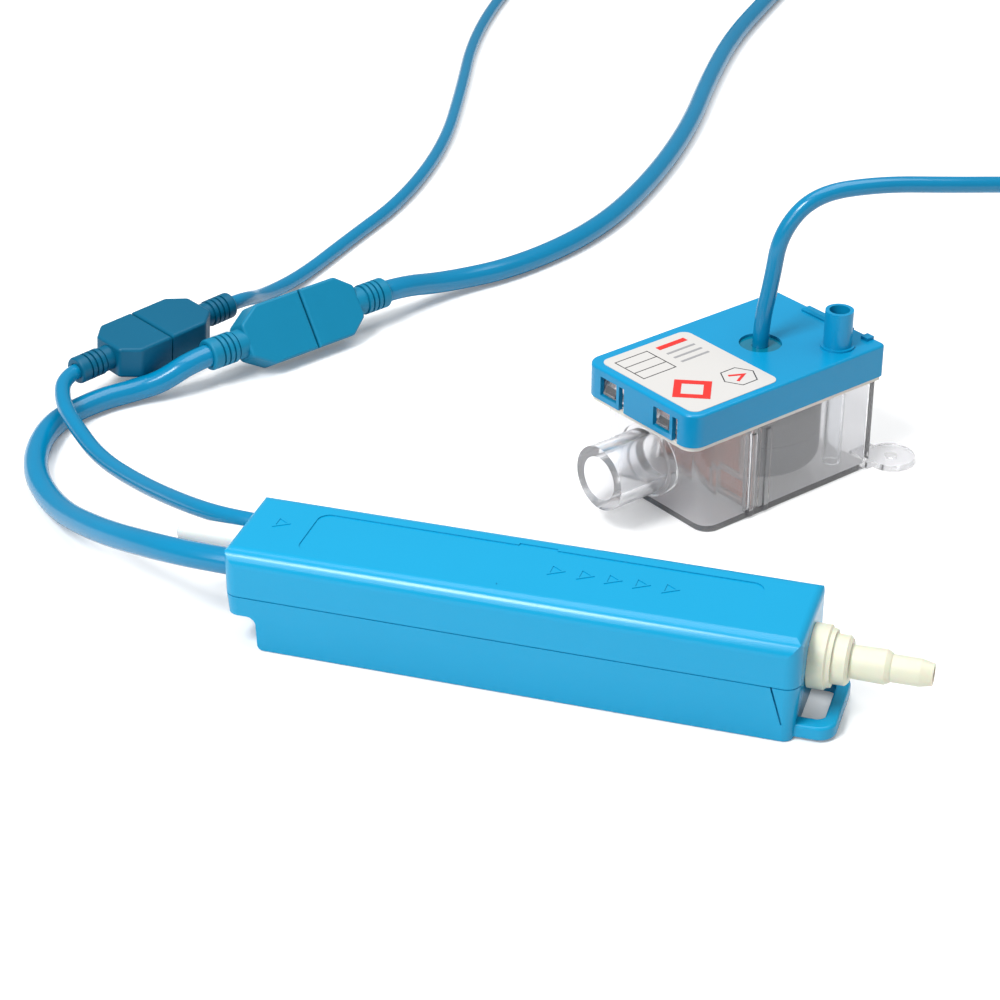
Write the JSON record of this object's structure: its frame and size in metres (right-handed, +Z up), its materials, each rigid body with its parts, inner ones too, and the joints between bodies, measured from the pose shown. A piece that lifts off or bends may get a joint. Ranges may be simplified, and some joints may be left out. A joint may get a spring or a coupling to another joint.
{
  "type": "condensate pump",
  "caption": "Slim in-line condensate pump with a barbed outlet and hanging loop, joined by cables and in-line plugs to a clear float reservoir with a blue clip-down lid.",
  "frame": {"origin": "on the pump's flat base, halfway along its body and on its centre line", "axes": "+X along the flow from the pump's inlet to its outlet barb, +Z up; the reservoir stands behind the pump, turned 55.5 degrees about +Z"},
  "size_m": [0.3548, 0.6932, 0.0917],
  "materials": {
    "shell_blue": "glossy moulded ABS",
    "lid_blue": "glossy moulded ABS",
    "nylon_cream": "natural nylon",
    "nylon_white": "natural nylon",
    "clear_tank": "clear polycarbonate",
    "gasket_cream": "soft TPE",
    "float_grey": "closed-cell foam",
    "stem_black": "moulded",
    "magnet": "sintered ferrite",
    "spring_steel": "drawn wire",
    "steel": "ground",
    "copper": "enamelled wire",
    "rubber_black": "moulded",
    "silicone": "translucent",
    "pcb_green": "solder mask",
    "component": "moulded",
    "terminal": "moulded",
    "plug_teal": "moulded PVC",
    "plug_blue": "moulded PVC",
    "contact": "plated",
    "cable_blue": "smooth PVC sheath",
    "core": "PVC insulation",
    "filter_brown": "open foam mesh",
    "filter_frame": "clear moulded",
    "grommet": "glossy moulded",
    "label_white": "printed film"
  },
  "bodies": {
    "base": {"lower_shell": "shell_blue", "upper_shell": "shell_blue", "outlet_nozzle": "nylon_cream", "outlet_head": "nylon_white", "inlet_head": "nylon_white", "piston_sleeve": "steel", "rear_spring": "spring_steel", "front_spring": "spring_steel", "outlet_valve_spring": "spring_steel", "coil_bobbin": "nylon_white", "coil_winding": "copper", "coil_yoke": "steel", "rear_rubber_mount": "rubber_black", "front_rubber_mount": "rubber_black", "nozzle_o_ring": "rubber_black", "inlet_barb": "nylon_white", "inlet_hose": "silicone", "mains_cable_anchor": "rubber_black", "sensor_cable_anchor": "rubber_black", "control_board": "pcb_green", "board_capacitor": "component", "board_triac": "component", "board_controller": "component", "board_terminals": "terminal", "mains_socket": "plug_blue", "mains_plug": "plug_blue", "mains_contacts": "contact", "sensor_socket": "plug_teal", "sensor_plug": "plug_teal", "sensor_contacts": "contact", "tank": "clear_tank", "lid": "lid_blue", "lid_gasket": "gasket_cream", "sensor_stem": "stem_black", "stem_clip": "spring_steel", "cable_grommet": "grommet", "filter_frame": "filter_frame", "filter_mesh": "filter_brown", "suction_tube": "clear_tank", "lid_label": "label_white", "mains_pigtail": "cable_blue", "sensor_pigtail": "cable_blue", "sensor_lead": "cable_blue", "reservoir_lead": "cable_blue", "mains_lead": "cable_blue", "sensor_coil": "cable_blue", "mains_coil": "cable_blue", "mains_cores": "core"},
    "float": {"float_body": "float_grey", "float_magnet": "magnet"},
    "piston": {"piston": "steel", "valve_retainer": "steel"},
    "inlet_disc": {"inlet_valve": "rubber_black"},
    "outlet_disc": {"outlet_valve": "rubber_black"}
  },
  "joints": [
    {"name": "float_slide", "type": "slide", "parent": "base", "child": "float", "axis": [0, 0, 1], "range_m": [0, 0.0094]},
    {"name": "piston_slide", "type": "slide", "parent": "base", "child": "piston", "axis": [1, 0, 0], "range_m": [-0.0025, 0.0025], "stiffness_N_per_m": 800, "deforming": ["rear_spring", "front_spring"]},
    {"name": "inlet_valve_lift", "type": "slide", "parent": "piston", "child": "inlet_disc", "axis": [1, 0, 0], "range_m": [0, 0.0008]},
    {"name": "outlet_valve_lift", "type": "slide", "parent": "base", "child": "outlet_disc", "axis": [1, 0, 0], "range_m": [0, 0.0008], "stiffness_N_per_m": 60, "deforming": ["outlet_valve_spring"]}
  ]
}
